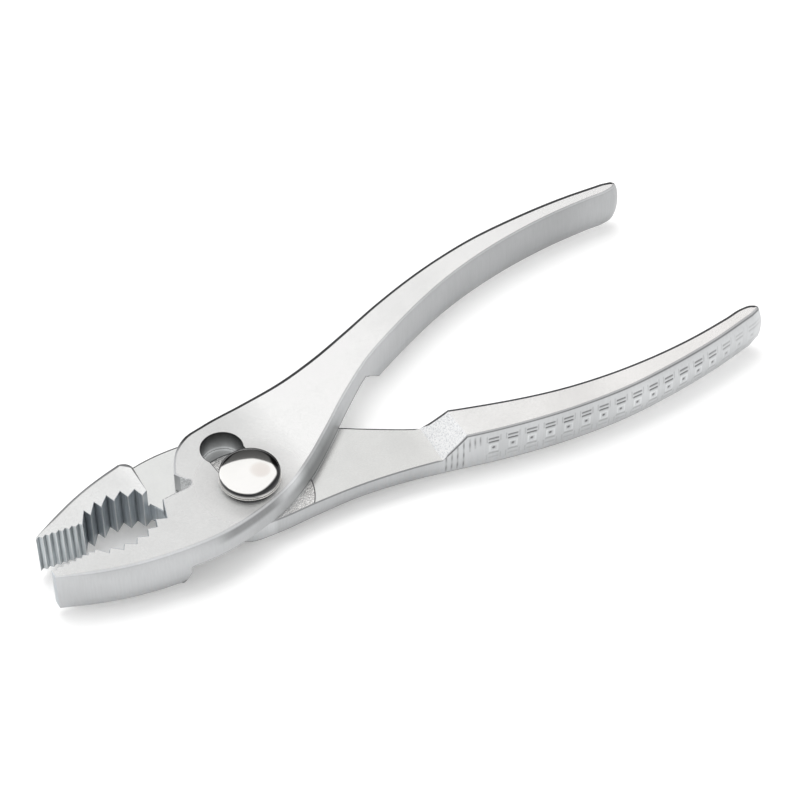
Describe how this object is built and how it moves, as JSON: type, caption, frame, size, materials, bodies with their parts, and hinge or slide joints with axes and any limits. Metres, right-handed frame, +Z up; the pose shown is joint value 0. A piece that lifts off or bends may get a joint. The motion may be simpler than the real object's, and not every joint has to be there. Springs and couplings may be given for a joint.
{
  "type": "slip joint pliers",
  "caption": "Bare steel slip joint pliers, jaws part open: toothed grip, wire cutter notch, curved handles and a domed bolt in a two-position slot.",
  "frame": {"origin": "on the bolt's axis, at the bolt's lower end flush with the nut's lower face", "axes": "+X along the tool from the jaws to the handle ends, +Y towards the slotted half's handle, +Z up along the bolt to its domed head"},
  "size_m": [0.1657, 0.0598, 0.0176],
  "materials": {
    "slotted_steel": "satin nickel-chrome plate over a drop forging, polished on the flat faces, dull and grainy in the slot, the notch and on the teeth",
    "keyed_steel": "satin nickel-chrome plate over a drop forging, matt grey on the walls, blasted dull on the lap face round the bolt",
    "bolt_steel": "polished, turned and domed",
    "washer_steel": "polished, with a bright chamfer",
    "nut_steel": "plain plated steel"
  },
  "bodies": {
    "slotted_side": {"slotted_half": "slotted_steel"},
    "slip_carrier": {"washer": "washer_steel"},
    "keyed_side": {"keyed_half": "keyed_steel", "pivot_bolt": "bolt_steel", "pivot_nut": "nut_steel"}
  },
  "joints": [
    {"name": "slip_slide", "type": "slide", "parent": "slotted_side", "child": "slip_carrier", "axis": [0, 1, 0], "range_m": [0, 0.0112]},
    {"name": "pivot_hinge", "type": "hinge", "parent": "slip_carrier", "child": "keyed_side", "pos_m": [0, 0, 0], "axis": [0, 0, 1], "range_deg": [-30, 10.6]}
  ]
}
